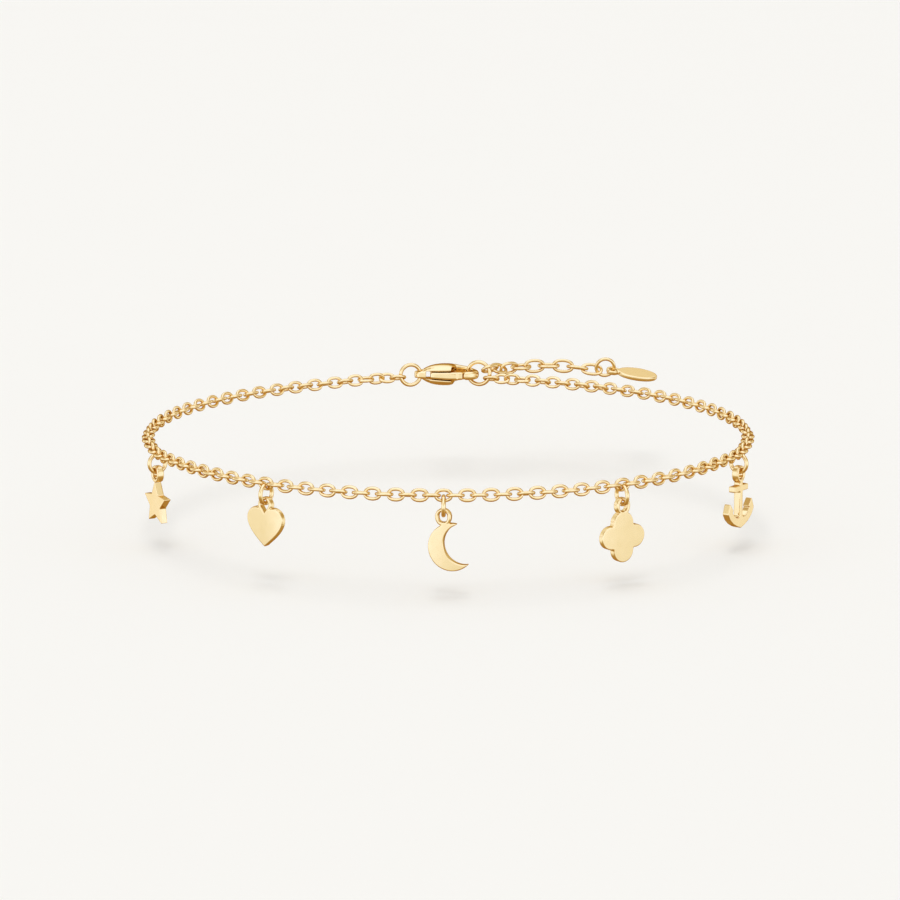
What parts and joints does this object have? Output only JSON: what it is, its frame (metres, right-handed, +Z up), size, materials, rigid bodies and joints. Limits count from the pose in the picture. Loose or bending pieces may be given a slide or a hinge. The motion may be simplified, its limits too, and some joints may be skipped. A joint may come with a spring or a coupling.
{
  "type": "charm anklet",
  "caption": "Fine gold-tone cable-chain anklet with flat charms on jump rings, a lobster clasp with a sprung lever, and an extender ending in a plain oval tag.",
  "frame": {"origin": "centre of the closed loop in the plane of the chain, where the ankle goes", "axes": "+Z up, out of the loop's plane and away from the hanging charms; +Y from the middle charm to the clasp; +X to the right when the middle charm faces the viewer"},
  "size_m": [0.0754, 0.0817, 0.0121],
  "materials": {
    "chain": "polished gold-tone plate",
    "rings": "polished gold-tone plate",
    "charms": "soft polished gold-tone plate",
    "clasp": "bright polished gold-tone plate"
  },
  "bodies": {
    "anklet": {"star_link": "chain", "heart_link": "chain", "moon_link": "chain", "clover_link": "chain", "anchor_link": "chain", "left_end_link": "chain", "right_end_link": "chain", "chain_back_left": "chain", "chain_star_to_heart": "chain", "chain_heart_to_moon": "chain", "chain_moon_to_clover": "chain", "chain_clover_to_anchor": "chain", "chain_back_right": "chain", "extender_first_link": "chain", "extender_chain": "chain", "extender_last_link": "chain", "star_ring": "rings", "heart_ring": "rings", "moon_ring": "rings", "clover_ring": "rings", "anchor_ring": "rings", "clasp_ring": "rings", "end_ring": "rings", "tag_ring": "rings", "star_charm": "charms", "heart_charm": "charms", "moon_charm": "charms", "clover_charm": "charms", "anchor_charm": "charms", "tag": "charms", "clasp_body": "clasp"},
    "lever": {"clasp_lever": "clasp"}
  },
  "joints": [
    {"name": "lever_hinge", "type": "hinge", "parent": "anklet", "child": "lever", "pos_m": [-0.0012, 0.037, 0.00065], "axis": [0, 0, 1], "range_deg": [0, 22], "stiffness_Nm_per_rad": 0.003}
  ]
}
